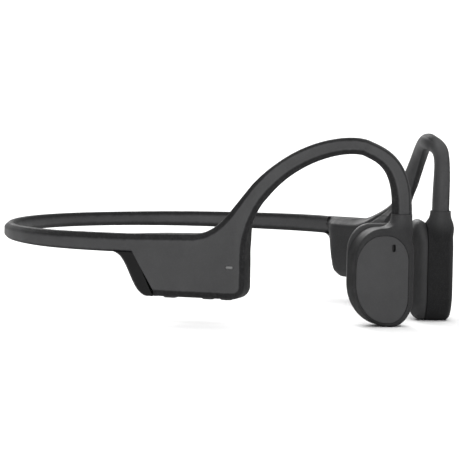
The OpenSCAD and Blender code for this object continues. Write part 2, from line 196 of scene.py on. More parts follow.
# ---- Meshes ----
def new_mesh(name, verts, faces, material, side=LEFT, sharp=38, attributes=None):
    """A piece from points in millimetres. The right side's pieces are mirrored."""
    v = np.array(verts, float).reshape(-1, 3) * MM
    if side == RIGHT:
        v = v * (1, -1, 1)
    me = bpy.data.meshes.new(name)
    me.from_pydata(v.tolist(), [], [list(map(int, f)) for f in faces])
    for key, values in (attributes or {}).items():
        me.attributes.new(key, "FLOAT", "POINT").data.foreach_set("value", np.array(values, np.float32))
    bm = bmesh.new()
    bm.from_mesh(me)
    bmesh.ops.recalc_face_normals(bm, faces=bm.faces)
    bm.to_mesh(me)
    bm.free()
    me.materials.append(material)
    obj = bpy.data.objects.new(name, me)
    bpy.context.scene.collection.objects.link(obj)
    shade(obj, sharp)
    return obj


def shade(obj, sharp):
    obj.data.shade_smooth()
    obj.data.set_sharp_from_angle(angle=math.radians(sharp))


def loft_faces(rings, sides):
    """Quads between rings of points that follow each other, and a cap at each end."""
    faces = []
    for i in range(rings - 1):
        for k in range(sides):
            n = (k + 1) % sides
            faces.append((i * sides + k, i * sides + n, (i + 1) * sides + n, (i + 1) * sides + k))
    faces.append(tuple(range(sides))[::-1])
    faces.append(tuple((rings - 1) * sides + k for k in range(sides)))
    return faces


def tube_mesh(name, path, radius, material, side, sides=14):
    """A round tube along points in millimetres."""
    verts = []
    for i, p in enumerate(path):
        t = unit(path[min(i + 1, len(path) - 1)] - path[max(i - 1, 0)])
        a = unit(np.cross(t, (0, 0, 1)))
        b = np.cross(a, t)
        verts += [p + x * a + y * b for x, y in circle(radius, sides)]
    return new_mesh(name, verts, loft_faces(len(path), sides), material, side)


def carve(obj, cutters, sharp=38):
    """Cuts the cutters out of a piece and drops them."""
    for c in cutters:
        m = obj.modifiers.new("cut", "BOOLEAN")
        m.operation, m.solver, m.object = "DIFFERENCE", "EXACT", c
        bpy.context.view_layer.update()
        made = bpy.data.meshes.new_from_object(obj.evaluated_get(bpy.context.evaluated_depsgraph_get()))
        obj.modifiers.clear()
        obj.data = made
        bpy.data.objects.remove(c)
    shade(obj, sharp)
    return obj


def prism(name, outline, lo, hi, place, side, material, face=0.0):
    """A cutter or plate: an outline (a, b) between two depths c, placed by place(a, c, b)."""
    n = len(outline)
    verts = [place(a, lo, b) for a, b in outline] + [place(a, hi, b) for a, b in outline]
    return new_mesh(name, verts, loft_faces(2, n), material, side,
                    attributes={"face": [face] * 2 * n, "rub_and_highlight": [0] * 2 * n})


# ---- Materials ----
EDGE_SPEC = 0.2      # share of the highlight left where edge is the colour
SPECK_GAIN = 1.6     # how much paler the grain's specks are
WEAR_AND_HIGHLIGHT_GAIN = 2.6      # and the rubbed spots, partly worn and partly painted highlight
WEAR_AND_HIGHLIGHT_SCALE = 700
ROUGH_VARY = 0.06
BUMP = 0.5


def finish(name, colour, rough, edge=None, grain=2600, depth=0.02, spec=0.3, metallic=0.0, mottle=90,
           vary=0.12, wear_and_highlight=0.0, stretch=(1, 1, 1)):
    """A procedural finish: blotches of colour, fine grain in the bump, uneven roughness and pale rubbed
    edges, partly worn and partly painted highlight.

    Where the mesh has the attribute "face", edge is a darker colour painted as shade on the chamfers,
    sides and rims away from its broad faces, with less highlight there. A second attribute marks the rubbed
    corners, where the worn spots and the painted highlight show. Depth is the grain's height in millimetres.
    """
    m = bpy.data.materials.new(name)
    m.use_nodes = True
    t, links = m.node_tree, m.node_tree.links
    shader = t.nodes["Principled BSDF"]
    where = t.nodes.new("ShaderNodeTexCoord")
    scaled = t.nodes.new("ShaderNodeMapping")
    scaled.inputs["Scale"].default_value = stretch
    links.new(where.outputs["Object"], scaled.inputs["Vector"])

    def noise(scale, detail, roughness=0.55):
        n = t.nodes.new("ShaderNodeTexNoise")
        n.inputs["Scale"].default_value = scale
        n.inputs["Detail"].default_value = detail
        n.inputs["Roughness"].default_value = roughness
        links.new(scaled.outputs["Vector"], n.inputs["Vector"])
        return n.outputs["Fac"]

    def spread(value, lo, hi, source=(0.3, 0.7)):
        n = t.nodes.new("ShaderNodeMapRange")
        n.inputs["From Min"].default_value, n.inputs["From Max"].default_value = source
        n.inputs["To Min"].default_value, n.inputs["To Max"].default_value = lo, hi
        links.new(value, n.inputs["Value"])
        return n.outputs["Result"]

    def mix(factor, a, b):
        n = t.nodes.new("ShaderNodeMix")
        n.data_type = "RGBA"
        links.new(factor, n.inputs["Factor"])
        for socket, value in ((n.inputs["A"], a), (n.inputs["B"], b)):
            if isinstance(value, tuple):
                socket.default_value = (*value, 1)
            else:
                links.new(value, socket)
        return n.outputs["Result"]

    def toned(c, by):
        return tuple(min(1, x * by) for x in c)

    blotches, fine = noise(mottle, 3), noise(grain, 2, 0.6)
    patch = spread(blotches, 0, 1)
    result = mix(patch, toned(colour, 1 - vary), toned(colour, 1 + vary))
    # Painted shade: the darker edge colour goes where the mask of broad faces is low, with less highlight
    # there.
    if edge:
        face = t.nodes.new("ShaderNodeAttribute")
        face.attribute_name = "face"
        result = mix(face.outputs["Fac"], mix(patch, toned(edge, 1 - vary), toned(edge, 1 + vary)), result)
        shine = spread(face.outputs["Fac"], EDGE_SPEC * spec, spec, (0, 1))
        links.new(shine, shader.inputs["Specular IOR Level"])
    speck = spread(fine, 0, 0.22, (0.45, 0.75))
    result = mix(speck, result, toned(colour, SPECK_GAIN))
    # Pale rubbed spots on the corners: partly worn, partly a painted highlight.
    if wear_and_highlight:
        rub_and_highlight = t.nodes.new("ShaderNodeAttribute")
        rub_and_highlight.attribute_name = "rub_and_highlight"
        patchy = t.nodes.new("ShaderNodeMath")
        patchy.operation = "MULTIPLY"
        links.new(rub_and_highlight.outputs["Fac"], patchy.inputs[0])
        links.new(spread(noise(WEAR_AND_HIGHLIGHT_SCALE, 4, 0.65), 0, wear_and_highlight, (0.35, 0.7)), patchy.inputs[1])
        result = mix(patchy.outputs["Value"], result, toned(colour, WEAR_AND_HIGHLIGHT_GAIN))
    links.new(result, shader.inputs["Base Color"])
    uneven = spread(noise(mottle * 3.3, 4), rough - ROUGH_VARY, rough + ROUGH_VARY)
    links.new(uneven, shader.inputs["Roughness"])
    bump = t.nodes.new("ShaderNodeBump")
    bump.inputs["Strength"].default_value = BUMP
    bump.inputs["Distance"].default_value = depth * MM
    links.new(fine, bump.inputs["Height"])
    links.new(bump.outputs["Normal"], shader.inputs["Normal"])
    shader.inputs["Metallic"].default_value = metallic
    if not edge:
        shader.inputs["Specular IOR Level"].default_value = spec
    return m


def grey(x):
    return (x, x, x * 1.03)


# The edge colours of silicone, casing and pad are painted shade on chamfers, sides and rims; the pale rubbed
# corners are partly worn and partly painted highlight.
SILICONE = finish("silicone", grey(0.031), 0.6, edge=grey(0.010), wear_and_highlight=0.2, spec=0.28)
CASING = finish("casing", grey(0.027), 0.6, edge=grey(0.011), spec=0.16, grain=3200)
PANEL = finish("panel", grey(0.029), 0.58, spec=0.28, grain=3000)
TRIM = finish("trim", grey(0.004), 0.36, spec=0.13, wear_and_highlight=0.25, grain=3600, depth=0.008)
PAD = finish("pad", grey(0.02), 0.62, edge=grey(0.012), spec=0.26, wear_and_highlight=0.2, grain=2200)
BUTTON = finish("button", grey(0.010), 0.58, spec=0.2, wear_and_highlight=0.3)
MARK = finish("mark", grey(0.16), 0.5, spec=0.3)
GUIDE = finish("light_guide", (0.12, 0.12, 0.12), 0.42, spec=0.4, vary=0.08, grain=5000)
INSERT = finish("insert", grey(0.02), 0.48, spec=0.35)
GOLD = finish("contact_gold", (0.86, 0.62, 0.26), 0.24, metallic=1, vary=0.06, grain=6000, depth=0.005)
WIRE = finish("spring_wire", (0.56, 0.55, 0.52), 0.32, metallic=1, vary=0.07, depth=0.006)
CABLE = finish("cable_jacket", (0.1, 0.1, 0.11), 0.55)
LEAD = finish("lead_jacket", (0.32, 0.05, 0.04), 0.5)
STEEL = finish("frame_steel", (0.5, 0.52, 0.55), 0.38, metallic=1, stretch=(1, 1, 0.06), depth=0.008)
LEAF = finish("leaf_steel", (0.62, 0.64, 0.68), 0.3, metallic=1, stretch=(1, 1, 0.06), depth=0.006)
COPPER = finish("coil_copper", (0.72, 0.34, 0.16), 0.34, metallic=1, stretch=(0.2, 0.2, 3), depth=0.02)
NICKEL = finish("magnet_nickel", (0.75, 0.75, 0.76), 0.2, metallic=1, vary=0.05, depth=0.004)
YOKE = finish("yoke_steel", (0.42, 0.43, 0.45), 0.4, metallic=1, depth=0.01)
CAN = finish("microphone_can", (0.75, 0.6, 0.34), 0.3, metallic=1, depth=0.005)
POUCH = finish("battery_pouch", (0.68, 0.69, 0.71), 0.42, metallic=1, mottle=160, depth=0.06, grain=900)
BOARD = finish("circuit_board", (0.02, 0.15, 0.06), 0.4, vary=0.25, grain=1800)
SHIELD = finish("shield_can", (0.7, 0.7, 0.71), 0.34, metallic=1, depth=0.008)
LED = finish("led_white", (0.85, 0.83, 0.74), 0.3, vary=0.04)
SWITCH = finish("switch_black", grey(0.02), 0.45)

INSIDE = {"transducer_lead": LEAD, "ear_hook_wire": WIRE, "transducer_frame": STEEL, "leaf_spring": LEAF,
          "voice_coil": COPPER, "magnet": NICKEL, "yoke": YOKE, "microphone": CAN, "battery_cell": POUCH,
          "protection_board": BOARD, "main_board": BOARD, "radio_module": SHIELD, "status_led": LED,
          "charging_contacts": GOLD, "volume_switches": SWITCH, "multifunction_switch": SWITCH,
          "switch_board": BOARD}
for node_name, node_obj in NODES.items():
    key = node_name.removeprefix("left_").removeprefix("right_")
    node_obj.data.materials.clear()
    node_obj.data.materials.append(INSIDE.get(key, CASING))
    shade(node_obj, 35)


# ---- Neckband: two half sleeves that meet at the nape, with the wire and the cable inside ----
SLANT_TOP, SLANT_FOOT = (-0.4, 20.82), (6.55, POD_Z)  # the panel's slanted rear edge, as (u, z)
STRIP_TOP = 1.5                                        # height of the chamfer along the upper edge
STRIP_DROP = 1.05                                      # how far that chamfer leans back
SLEEVE_RISE = 0.25                                     # the sleeve climbs this much towards the pod


def slant_u(z):
    return SLANT_TOP[0] + (SLANT_TOP[1] - z) * (SLANT_FOOT[0] - SLANT_TOP[0]) / (SLANT_TOP[1] - SLANT_FOOT[1])


def sleeve_section(grow):
    """(out, up) points, how far each is kept out of the painted shade on the chamfers, and how rubbed each
    is;
    grow is 0 at the nape and 1 at the pod.
    """
    half = 1.78 + 0.44 * grow
    t = (BAND_T - 0.35 * (1 - grow)) / 2
    top, foot = 1.0 + (STRIP_TOP - 1.0) * grow, 0.75 - 0.2 * grow
    corners = [(-t + 0.9, half), (t - STRIP_DROP, half), (t, half - top), (t, foot - half), (t - foot, -half),
               (-t + 1.0, -half), (-t, 1.1 - half), (-t, half - 1.0)]
    radii = [0.4, 0.35, 0.3, 0.3, 0.35, 0.4, 0.4, 0.4]
    points = rounded(corners, radii)
    faces, rubs_and_highlights = [], []
    for k in range(len(points)):
        corner, step = divmod(k, CORNER_STEPS)
        rise = step / (CORNER_STEPS - 1)
        # The broad faces keep the main colour and the chamfer strips get painted shade.
        faces.append((0, 0, rise, 1 - rise, 0, 0, rise, 1 - rise)[corner])
        # Rubbed corners are pale, partly worn and partly painted highlight.
        rubs_and_highlights.append(1.0 if 0 < step < CORNER_STEPS - 1 else 0.2)
    return points, faces, rubs_and_highlights


def half_sleeve(side):
    """One side's sleeve, from the nape along the arc and on to the slanted edge."""
    stations = list(np.linspace(0, SEAM_AT, 72))
    verts, face, rub_and_highlight = [], [], []
    for a in stations:
        points, faces, rubs_and_highlights = sleeve_section(smooth(20, SEAM_AT, a))
        z = BAND_Z + SLEEVE_RISE * smooth(70, SEAM_AT, a)
        drawn_in = 0.6 * math.exp(-((a - 34) / 20) ** 2)
        verts += [band_point(a, out - drawn_in, z + up) for out, up in points]
        face += faces
        rub_and_highlight += rubs_and_highlights
    rings = len(stations)
    for t in (0.5, 0.94, 0.985, 1.0):
        points, faces, rubs_and_highlights = sleeve_section(1)
        pinch = 0.12 if t == 1.0 else 0.0
        for out, up in points:
            z = BAND_Z + SLEEVE_RISE + up
            verts.append(pod_point(t * (slant_u(z) - 0.03), out - math.copysign(pinch, out),
                                   z - math.copysign(pinch, up)))
        face += faces
        rub_and_highlight += rubs_and_highlights
        rings += 1
    sides = len(points)
    return new_mesh(f"neckband_sleeve_half_{side}", verts, loft_faces(rings, sides), SILICONE, side,
                    attributes={"face": face, "rub_and_highlight": rub_and_highlight})


def bend_with(obj):
    """Bakes the piece's placement into its mesh."""
    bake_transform(obj)


def neckband(side):
    own_rear = side == LEFT
    sleeve = half_sleeve(side)
    angles = np.linspace(0, SEAM_AT + INTO_POD, 90)
    wire = tube_mesh(f"neckband_wire_half_{side}", [band_point(a, 0, BAND_Z + WIRE_UP) for a in angles],
                     WIRE_R, WIRE, side)
    cable = tube_mesh(f"link_cable_half_{side}", [band_point(a, 0, BAND_Z - CABLE_DOWN) for a in angles],
                      CABLE_R, CABLE, side)
    for obj, stem, slot in ((sleeve, "neckband_sleeve", "silicone_skin"),
                            (wire, "neckband_wire", "spring_wire"),
                            (cable, "link_cable", "cable_jacket")):
        bend_with(obj)
        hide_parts(f"{stem}_flex_{side}", f"{stem}_{side}", *([f"{stem}_rear"] if own_rear else []))


for s in SIDES:
    neckband(s)


# ---- Arm skin: one moulding from the slanted edge over the pod and up the hook to the neck ----
JOIN = 0.15                       # the hook's own path takes over here
EDGE_TOP = vec(15, 21.25)         # the pod's upper edge starts to rise here
HOOK_SIDE_T = 1.75                # the hook's depth to either side of its middle


def hook_edge(s, sign):
    """A point on the hook's upper (1) or lower (-1) edge, as (u, z), and the hook's direction there."""
    p = to_pod(hook_at(s) + sign * hook_half_w(s) * np.cross(hook_tangent(s), hook_out(s)))
    d = to_pod(hook_at(s) + hook_tangent(s)) - to_pod(hook_at(s))
    return p[[0, 2]], d[[0, 2]]


def hook_blend(start, ahead, sign, pull):
    """A curve in the pod's side view, from a point of the pod to the hook's edge at JOIN."""
    end, d = hook_edge(JOIN, sign)
    return [start, start + ahead, end - pull * d, end]


TOP_CURVE = hook_blend(EDGE_TOP, vec(7.0, 0), 1, 8.5)
FRONT_EDGE = hook_blend(vec(POD_LEN, 17.2), vec(0, 4.6), -1, 4.2)


def plan_station(k):
    """The matching points of the skin's upper and lower edges in the pod's side view, for k from 0 to 4."""
    stretch = min(int(k), 3)
    t = k - stretch
    if stretch == 0:
        top = vec(*SLANT_TOP) + (EDGE_TOP - vec(*SLANT_TOP)) * t
        return top, vec(SLANT_FOOT[0] + (POD_LEN - POD_CORNER - SLANT_FOOT[0]) * t, POD_Z)
    top = bezier(TOP_CURVE, (0, 0, 0.33, 0.72)[stretch] + (0, 0.33, 0.39, 0.28)[stretch] * t)
    if stretch == 1:
        a = math.radians(-90 + 90 * t)
        return top, vec(POD_LEN - POD_CORNER * (1 - math.cos(a)), POD_Z + POD_CORNER * (1 + math.sin(a)))
    if stretch == 2:
        return top, vec(POD_LEN, POD_Z + POD_CORNER + (FRONT_EDGE[0][1] - POD_Z - POD_CORNER) * t)
    return top, bezier(FRONT_EDGE, t)


def inner_depth(u, z):
    """How far the pod reaches inwards of the neckband's centreline."""
    slope = (SLANT_FOOT[0] - SLANT_TOP[0]) / (SLANT_TOP[1] - SLANT_FOOT[1])
    distance = (u - slant_u(z)) / math.hypot(1, slope)
    rounding = math.sqrt(max(0.0, 1 - (1 - np.clip(distance / 4.6, 0, 1)) ** 2))
    side = HOOK_SIDE_T - 1.0 * (1 - smooth(0, 3, distance)) * (1 - smooth(15, 16.8, z))
    depth = smooth(-1.0, 9.2, u) * rounding * (1 - smooth(19.5, 26.5, z))
    return side + (POD_IN - side) * depth


class Ring:
    """One cross-section of the skin.

    Top and low are its edges on the middle surface, out points outwards and half_out is the depth that way.
    Strips and drops are the width and fall of the chamfers along both edges, and curve rounds them. The sides
    get painted shade, and the last value lifts them towards the broad face's colour.
    """

    def __init__(self, top, low, out, half_out, in_pod, strips, drops, curve, side_unshaded=0.0):
        self.top, self.low, self.out, self.half_out, self.in_pod = top, low, out, half_out, in_pod
        self.strips, self.drops, self.curve, self.side_unshaded = strips, drops, curve, side_unshaded


def pod_ring(k):
    top, low = plan_station(k)
    ease, front, back_to_thin = smooth(2.6, 4.25, k), smooth(1.0, 2.0, k), smooth(2.75, 4.0, k)
    aim = unit(POD_OUTWARD + (hook_out(JOIN) - POD_OUTWARD) * ease)
    w = -0.9 * ease
    half_out = POD_OUT - 0.1 * (1 - smooth(0, 0.3, k)) - 0.05 * back_to_thin
    strips = STRIP_TOP - 0.35 * back_to_thin, 1.6 - 0.6 * front + 0.2 * back_to_thin
    drops = STRIP_DROP - 0.1 * back_to_thin, 1.0 - 0.1 * back_to_thin
    return Ring(pod_point(top[0], w, top[1]), pod_point(low[0], w, low[1]), aim, half_out, True,
                strips, drops, 0.5 + 0.5 * front)


def hook_ring(s):
    across = np.cross(hook_tangent(s), hook_out(s))
    half, near_end, near_pod = hook_half_w(s), smooth(1.7, 2, s), 1 - smooth(JOIN, 0.3, s)
    half_out = HOOK_SIDE_T + 0.25 * smooth(1.5, 2, s)
    strips = 0.75 + 0.5 * near_end + 0.4 * near_pod, 1.2
    drops = 0.75 + 0.45 * near_end + 0.2 * near_pod, 0.9 + 0.3 * near_end
    return Ring(hook_at(s) + half * across, hook_at(s) - half * across, hook_out(s), half_out, False,
                strips, drops, 0.6 + 0.5 * near_end, 0.85 * smooth(0.75, 1.3, s))


def skin_rings():
    along_pod = np.concatenate([np.linspace(0, 1, 20), np.linspace(1, 2, 14)[1:], np.linspace(2, 3, 12)[1:],
                                np.linspace(3, 4, 14)[1:-1]])
    along_hook = np.concatenate([np.linspace(JOIN, 1, 46), np.linspace(1, 2, 40)[1:]])
    return [pod_ring(k) for k in along_pod] + [hook_ring(s) for s in along_hook]


OUTER_STEPS, INNER_STEPS = 8, 18  # extra points across the outer and the inner face


def ring_points(rings, i):
    """The points of one ring, how far each is kept out of the painted shade, and how rubbed each is
    (partly worn, partly painted highlight).

    The corners run from the outer face's top edge over its lower edge and the inner face back to the top.
    """
    r = rings[i]
    before, after = rings[max(i - 1, 0)], rings[min(i + 1, len(rings) - 1)]
    in_top = -unit(np.cross(unit(after.top - before.top), r.out))
    in_low = unit(np.cross(unit(after.low - before.low), r.out))
    top1, low1 = r.top + in_top * r.strips[0], r.low + in_low * r.strips[1]
    spans = [r.strips[0], np.linalg.norm(low1 - top1), r.strips[1]]
    marks = np.cumsum([0] + spans)
    rail = np.array([r.top, top1, low1, r.low])

    def along(q):
        return np.array([np.interp(q, marks, rail[:, axis]) for axis in range(3)])

    def depth(q):
        if not r.in_pod:
            return r.half_out
        p = to_pod(along(q))
        return inner_depth(p[0], p[2])

    width, half = marks[-1], r.half_out

    def inner_round(d):
        return min(1.7, 0.42 * width, 0.5 * (half + d) - 0.1) if r.in_pod else 1.15

    d_top, d_low = depth(0), depth(width)
    round_top, round_low = inner_round(d_top), inner_round(d_low)
    corners = [(0, half - r.drops[0]), (marks[1], half), (marks[2], half), (width, half - r.drops[1]),
               (width, -d_low + round_low), (width - round_low, -depth(width - round_low)),
               (round_top, -depth(round_top)), (0, -d_top + round_top)]
    radii = [0.35 + 0.25 * r.curve, 0.3, 0.3, 0.35 + 0.5 * r.curve, 0.8, 0.8, 0.8, 0.8]
    points = rounded(corners, radii)
    # The outer face keeps the main colour; chamfers and sides get painted shade, and the corners are pale,
    # partly worn and partly painted highlight.
    rise = [0, 0.2, 0.6, 0.9, 1]
    face = [0] * 5 + rise + rise[::-1] + [0] * 25
    rub_and_highlight = [0.4, 1, 1, 1, 0.4] * 4 + [0.1] * 20
    crown = 0.16 if r.in_pod else 0.06

    def between(k, steps):
        """Distances along the ring between points k - 1 and k, and how far along each is."""
        start, end = points[k - 1][0], points[k][0]
        return [(start + (end - start) * x, x) for x in np.linspace(0, 1, steps + 2)[1:-1]]

    outer_at, inner_at = 2 * CORNER_STEPS, 6 * CORNER_STEPS
    outer = [(q, half + crown * math.sin(math.pi * x)) for q, x in between(outer_at, OUTER_STEPS)]
    inner = [(q, -depth(q)) for q, _ in between(inner_at, INNER_STEPS)]

    def joined(values, on_outer, on_inner):
        return values[:outer_at] + on_outer + values[outer_at:inner_at] + on_inner + values[inner_at:]

    points = joined(points, outer, inner)
    face = joined(face, [1] * OUTER_STEPS, [0] * INNER_STEPS)
    rub_and_highlight = joined(rub_and_highlight, [0] * OUTER_STEPS, [0] * INNER_STEPS)
    inner_from = 4 * CORNER_STEPS + OUTER_STEPS
    # The inner face gets a lighter painted shade, and the sides take the ring's lift from it.
    for k in range(len(face)):
        if inner_from + 3 <= k < inner_from + INNER_STEPS + 3 * CORNER_STEPS:
            face[k] = 0.4 if r.in_pod else 0.8
        elif k < CORNER_STEPS or k >= len(face) - CORNER_STEPS:
            face[k] = max(face[k], r.side_unshaded)
    return [along(q) + r.out * p for q, p in points], face, rub_and_highlight


def arm_skin(side):
    rings = skin_rings()
    verts, face, rub_and_highlight = [], [], []
    for i in range(len(rings)):
        points, faces, rubs_and_highlights = ring_points(rings, i)
        verts += points
        face += faces
        rub_and_highlight += rubs_and_highlights
    sides = len(points)
    return new_mesh(f"{side}_arm_skin", verts, loft_faces(len(rings), sides), SILICONE, side,
                    attributes={"face": face, "rub_and_highlight": rub_and_highlight})


def split_cover(side, skin):
    """Cuts the pod's inner cover off the skin, with a fine joint between them."""
    flip = -1 if side == RIGHT else 1
    parts = []
    for keep_cover in (False, True):
        bm = bmesh.new()
        bm.from_mesh(skin.data)
        plane = pod_point(0, PARTING - (0.05 if keep_cover else -0.05), 0) * MM * (1, flip, 1)
        normal = POD_OUTWARD * (1, flip, 1)

        def near_pod(co):
            p = to_pod(np.array(co) / MM * (1, flip, 1))
            return p[0] < POD_LEN + 0.6 and p[2] < 25.5

        region = [f for f in bm.faces if near_pod(f.calc_center_median())]
        verts = dict.fromkeys(v for f in region for v in f.verts)
        edges = dict.fromkeys(e for f in region for e in f.edges)
        geom = [*verts, *edges, *region]
        bmesh.ops.bisect_plane(bm, geom=geom, plane_co=plane, plane_no=normal, dist=1e-7)
        drop = []
        for f in bm.faces:
            c = f.calc_center_median()
            inside = near_pod(c) and (Vector(c) - Vector(plane)).dot(Vector(normal)) < 0
            if inside != keep_cover:
                drop.append(f)
        bmesh.ops.delete(bm, geom=drop, context="FACES")
        rim = [e for e in bm.edges if e.is_boundary]
        bmesh.ops.holes_fill(bm, edges=rim, sides=0)
        bmesh.ops.recalc_face_normals(bm, faces=bm.faces)
        me = bpy.data.meshes.new(f"{side}_pod_cover_skin" if keep_cover else f"{side}_arm_skin")
        bm.to_mesh(me)
        bm.free()
        parts.append(me)
    skin.data = parts[0]
    skin.data.materials.clear()
    skin.data.materials.append(SILICONE)
    shade(skin, 38)
    cover = bpy.data.objects.new(f"{side}_pod_cover_skin", parts[1])
    parts[1].materials.append(SILICONE)
    bpy.context.scene.collection.objects.link(cover)
    shade(cover, 38)
    return cover


def bar(length, height, grow=0.0, steps=10):
    """Outline of a rounded bar."""
    r, run = height / 2 + grow, (length - height) / 2
    right = np.linspace(-math.pi / 2, math.pi / 2, steps)
    left = np.linspace(math.pi / 2, 1.5 * math.pi, steps)
    return ([(run + r * math.cos(a), r * math.sin(a)) for a in right]
            + [(-run + r * math.cos(a), r * math.sin(a)) for a in left])


def stacked(name, layers, place, material, side, face=None):
    """A solid through outlines stacked along a depth: layers are (outline, depth)."""
    n = len(layers[0][0])
    verts = [place(a, d, b) for outline, d in layers for a, b in outline]
    attributes = {"face": [f for f in face for _ in range(n)], "rub_and_highlight": [0.3] * len(verts)} if face else None
    return new_mesh(name, verts, loft_faces(len(layers), n), material, side, attributes=attributes)


BUTTONS = {"volume_down": 19.2, "volume_up": 23.7}    # each button's u
BUTTON_Y, BUTTON_SIZE, BUTTON_OUT = -2.2, (3.0, 2.2), 0.4
INSERT_AT, INSERT_HALF = (10.1, -2.4), (1.5, 2.1)
CONTACTS = (-1.1, 1.1)                                # across the insert
LED_AT, LED_SIZE = (25.4, 13.8), (1.8, 0.7)


def below_pod(u0, w0):
    """Placer for outlines (along u, along w) stacked upwards from the pod's lower face."""
    return lambda a, d, b: pod_point(u0 + a, w0 + b, POD_Z + d)


def on_face(a, d, b):
    """Placer for outlines round the status light, stacked outwards from the pod's face."""
    return pod_point(LED_AT[0] + a, POD_OUT + d, LED_AT[1] + b)


def insert_outline(inset, radius=0.45):
    u, w = INSERT_HALF[0] - inset, INSERT_HALF[1] - inset
    return rounded([(-u, -w), (u, -w), (u, w), (-u, w)], [radius] * 4)


def carve_pod(skin, side):
    """Pockets for the two buttons and the charging insert, and the window of the status light."""
    cutters = [prism("cut", bar(*BUTTON_SIZE, 0.14), -2, 1.2, below_pod(u, BUTTON_Y), side, SILICONE)
               for u in BUTTONS.values()]
    cutters.append(prism("cut", insert_outline(-0.1, 0.5), -2, 1.2, below_pod(*INSERT_AT), side, SILICONE))
    cutters.append(prism("cut", bar(*LED_SIZE, 0.02), -1.2, 2, on_face, side, SILICONE, face=1))
    carve(skin, cutters)
    # The cut leaves new corners without their "face" value, so round the light's window they are taken out of
    # the painted shade again.
    unshaded = skin.data.attributes["face"].data
    for v in skin.data.vertices:
        u, w, z = to_pod(np.array(v.co) / MM * (1, -1, 1))
        if w > 1 and abs(u - LED_AT[0]) < 1.4 and abs(z - LED_AT[1]) < 0.8:
            unshaded[v.index].value = 1


def volume_caps(side):
    arm = 0.55
    for name, u in BUTTONS.items():
        place = below_pod(u, BUTTON_Y)
        layers = [(bar(*BUTTON_SIZE, grow), depth) for grow, depth in
                  ((0, 0.7), (0, -0.2), (-0.08, -0.32), (-0.25, -0.39), (-0.6, -BUTTON_OUT))]
        cap = stacked(f"{name}_cap", layers, place, BUTTON, side, face=[0, 0, 0.5, 1, 1])
        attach(cap, name)
        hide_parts(f"{name}_button")
        bars = [bar(2 * arm, 0.26)]
        if name == "volume_up":
            bars.append([(b, a) for a, b in reversed(bar(2 * arm, 0.26))])
        for k, outline in enumerate(bars):
            mark = prism(f"{name}_mark_{k + 1}", outline, -BUTTON_OUT - 0.04, -BUTTON_OUT + 0.1, place,
                         side, MARK)
            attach(mark, name)


def charging_insert(side):
    layers = [(insert_outline(0), 1.1), (insert_outline(0), -0.2), (insert_outline(0.1), -0.32),
              (insert_outline(0.3), -0.35)]
    insert = stacked("charging_insert_block", layers, below_pod(*INSERT_AT), INSERT, side)
    at_contact = [below_pod(INSERT_AT[0], INSERT_AT[1] + y) for y in CONTACTS]
    carve(insert, [prism("cut", bar(1.7, 1.7), -1, 0.25, place, side, INSERT) for place in at_contact])
    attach(insert, f"{side}_arm")
    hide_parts("charging_insert")
    for k, place in enumerate(at_contact):
        layers = [(circle(r, 28), depth)
                  for r, depth in ((0.72, 0.3), (0.72, -0.12), (0.66, -0.2), (0.5, -0.24), (0.2, -0.21))]
        pin = stacked(f"charging_contact_{k + 1}", layers, place, GOLD, side)
        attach(pin, f"{side}_arm")
    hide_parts("charging_contacts")


def light_window(side):
    layers = [(bar(*LED_SIZE, grow), depth)
              for grow, depth in ((-0.02, -2.4), (-0.02, 0.0), (-0.08, 0.05), (-0.2, 0.07))]
    guide = stacked("led_light_guide_window", layers, on_face, GUIDE, side)
    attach(guide, f"{side}_arm")
    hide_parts("led_light_guide")


def pod_trim(side):
    """The dark wedge between the neckband's end and the slanted edge."""
    rear = [vec(-4.1, 16.4), vec(-2.0, 16.1), vec(-1.0, 14.2), vec(0.3, 11.4)]
    foot = [vec(0.3, 11.4), vec(1.4, 9.1), vec(2.3, 7.0), vec(4.2, POD_Z + 0.05)]
    steps = np.linspace(0, 1, 16)
    outline = [bezier(rear, t) for t in steps] + [bezier(foot, t) for t in steps[1:]]
    verts = []
    for i, p in enumerate(outline):
        z = 16.38 + (POD_Z + 0.03 - 16.38) * smooth(0, 1, i / (len(outline) - 1)) ** 0.9
        front = vec(slant_u(z) - 0.04, z)
        width = np.linalg.norm(front - p)
        soft = min(0.7, 0.45 * width)
        half = BAND_T / 2 - 0.08
        lean = min(3.4, 0.8 * width)
        inner = 0.7 + 0.9 * smooth(15, 16.4, p[1])
        section = rounded([(0, half - soft), (soft, half), (width, half), (width, -inner), (lean, -inner),
                           (0, half - soft - 0.1)],
                          [soft * 0.8, soft * 0.8, 0.05, 0.05, soft * 0.8, 0.04])
        for q, w in section:
            at = p + (front - p) * q / width
            verts.append(pod_point(at[0], w, at[1]))
    sides = len(section)
    # Pale rubbed corners on the wedge, partly worn and partly painted highlight.
    rub_and_highlight = ([0.6, 1, 1, 1, 0.6] * 2 + [0] * 10 + [0.6, 1, 1, 1, 0.6] * 2) * len(outline)
    obj = new_mesh(f"{side}_pod_trim_wedge", verts, loft_faces(len(outline), sides), TRIM, side,
                   attributes={"rub_and_highlight": rub_and_highlight})
    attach(obj, f"{side}_arm")
    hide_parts(f"{side}_pod_trim")


for s in SIDES:
    skin = arm_skin(s)
    cover = split_cover(s, skin)
    if s == RIGHT:
        carve_pod(skin, s)
        volume_caps(s)
        charging_insert(s)
        light_window(s)
    for obj in (skin, cover):
        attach(obj, f"{s}_arm")
    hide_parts(f"{s}_pod_shell", f"{s}_ear_hook_sleeve")
    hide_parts(f"{s}_pod_cover")
    pod_trim(s)


# ---- Heads ----
BOTTOM_CORNERS = (9, 10.5), (5, 6.5)
TOP_CORNERS = (5, 6), (7, 8)
HEAD_GAP = 0.06          # joints of the head's shell with its pad and with the hook
MIC_AT = (2.1, 18.8)
MFB_AT, MFB_R = (0.0, 12.0), 2.1
STEM_FOOT, STEM_TIP = vec(5.0, 1.95, 17.0), vec(4.85, 1.9, 31.0)


